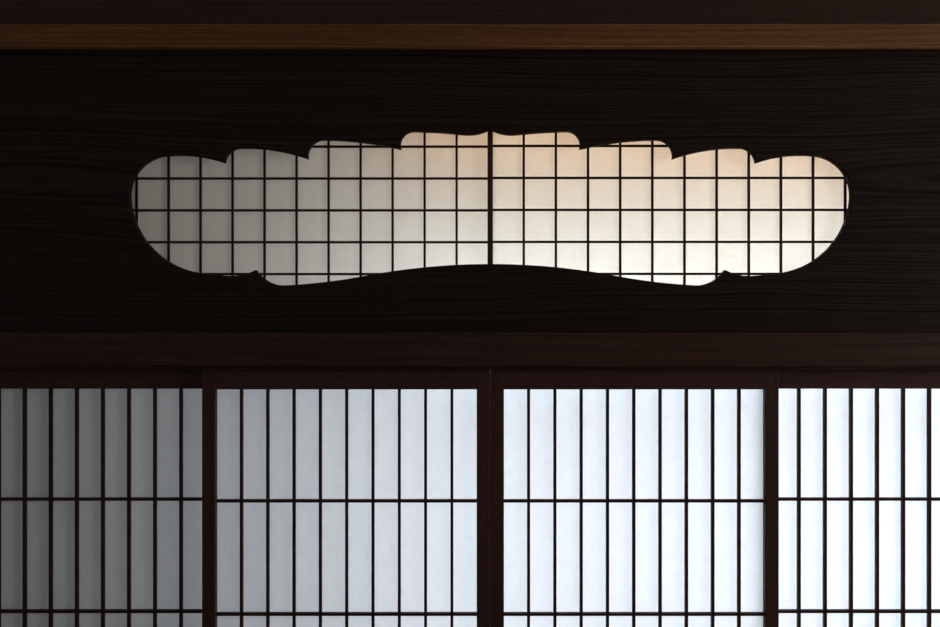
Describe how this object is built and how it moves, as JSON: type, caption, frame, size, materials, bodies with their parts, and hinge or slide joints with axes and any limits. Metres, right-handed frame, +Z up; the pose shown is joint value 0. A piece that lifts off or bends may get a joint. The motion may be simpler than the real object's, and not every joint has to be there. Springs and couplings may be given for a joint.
{
  "type": "shoji sliding screen set with frame and cloud-window transom",
  "caption": "Sliding paper screens in a dark timber frame with grooved sill and head rail, under a transom board whose cloud-shaped window has small sliding lattice screens behind it.",
  "frame": {"origin": "middle of the sill's underside, halfway between the posts and midway between the two tracks", "axes": "+X along the opening, to the right as seen from the room; -Y towards the room; +Z up"},
  "size_m": [3.756, 0.145, 3.1135],
  "materials": {
    "frame_timber": "dark stained, dry, slightly worn",
    "sill_timber": "dark stained, polished by use along the grooves",
    "cornice_timber": "lighter brown, planed",
    "board_timber": "near-black stain over a wide flat grain",
    "screen_timber": "reddish dark stain, satin",
    "lattice_timber": "reddish dark stain, satin",
    "screen_paper": "matt handmade paper, lets light through",
    "transom_paper": "matt handmade paper, slightly warm with age"
  },
  "bodies": {
    "frame": {"post_left": "frame_timber", "post_right": "frame_timber", "sill": "sill_timber", "head_rail": "frame_timber", "head_beam": "frame_timber", "face_beam": "frame_timber", "cornice_strip": "cornice_timber", "transom_board": "board_timber", "transom_stud_left": "frame_timber", "transom_stud_right": "frame_timber", "transom_rail_lower": "frame_timber", "transom_rail_upper": "frame_timber"},
    "screen_1": {"screen_1_left_stile": "screen_timber", "screen_1_right_stile": "screen_timber", "screen_1_top_rail": "screen_timber", "screen_1_bottom_rail": "screen_timber", "screen_1_upright_bars": "lattice_timber", "screen_1_level_bars": "lattice_timber", "screen_1_paper": "screen_paper"},
    "screen_2": {"screen_2_left_stile": "screen_timber", "screen_2_right_stile": "screen_timber", "screen_2_top_rail": "screen_timber", "screen_2_bottom_rail": "screen_timber", "screen_2_upright_bars": "lattice_timber", "screen_2_level_bars": "lattice_timber", "screen_2_paper": "screen_paper"},
    "screen_3": {"screen_3_left_stile": "screen_timber", "screen_3_right_stile": "screen_timber", "screen_3_top_rail": "screen_timber", "screen_3_bottom_rail": "screen_timber", "screen_3_upright_bars": "lattice_timber", "screen_3_level_bars": "lattice_timber", "screen_3_paper": "screen_paper"},
    "screen_4": {"screen_4_left_stile": "screen_timber", "screen_4_right_stile": "screen_timber", "screen_4_top_rail": "screen_timber", "screen_4_bottom_rail": "screen_timber", "screen_4_upright_bars": "lattice_timber", "screen_4_level_bars": "lattice_timber", "screen_4_paper": "screen_paper"},
    "transom_left": {"transom_left_left_stile": "screen_timber", "transom_left_right_stile": "screen_timber", "transom_left_top_rail": "screen_timber", "transom_left_bottom_rail": "screen_timber", "transom_left_upright_bars": "lattice_timber", "transom_left_level_bars": "lattice_timber", "transom_left_paper": "transom_paper"},
    "transom_right": {"transom_right_left_stile": "screen_timber", "transom_right_right_stile": "screen_timber", "transom_right_top_rail": "screen_timber", "transom_right_bottom_rail": "screen_timber", "transom_right_upright_bars": "lattice_timber", "transom_right_level_bars": "lattice_timber", "transom_right_paper": "transom_paper"}
  },
  "joints": [
    {"name": "screen_1_slide", "type": "slide", "parent": "frame", "child": "screen_1", "axis": [1, 0, 0], "range_m": [0, 0.8577]},
    {"name": "screen_2_slide", "type": "slide", "parent": "frame", "child": "screen_2", "axis": [1, 0, 0], "range_m": [-0.8577, 0]},
    {"name": "screen_3_slide", "type": "slide", "parent": "frame", "child": "screen_3", "axis": [1, 0, 0], "range_m": [0, 0.8577]},
    {"name": "screen_4_slide", "type": "slide", "parent": "frame", "child": "screen_4", "axis": [1, 0, 0], "range_m": [-0.8577, 0]},
    {"name": "transom_left_slide", "type": "slide", "parent": "frame", "child": "transom_left", "axis": [1, 0, 0], "range_m": [0, 1.221]},
    {"name": "transom_right_slide", "type": "slide", "parent": "frame", "child": "transom_right", "axis": [1, 0, 0], "range_m": [-1.221, 0]}
  ]
}
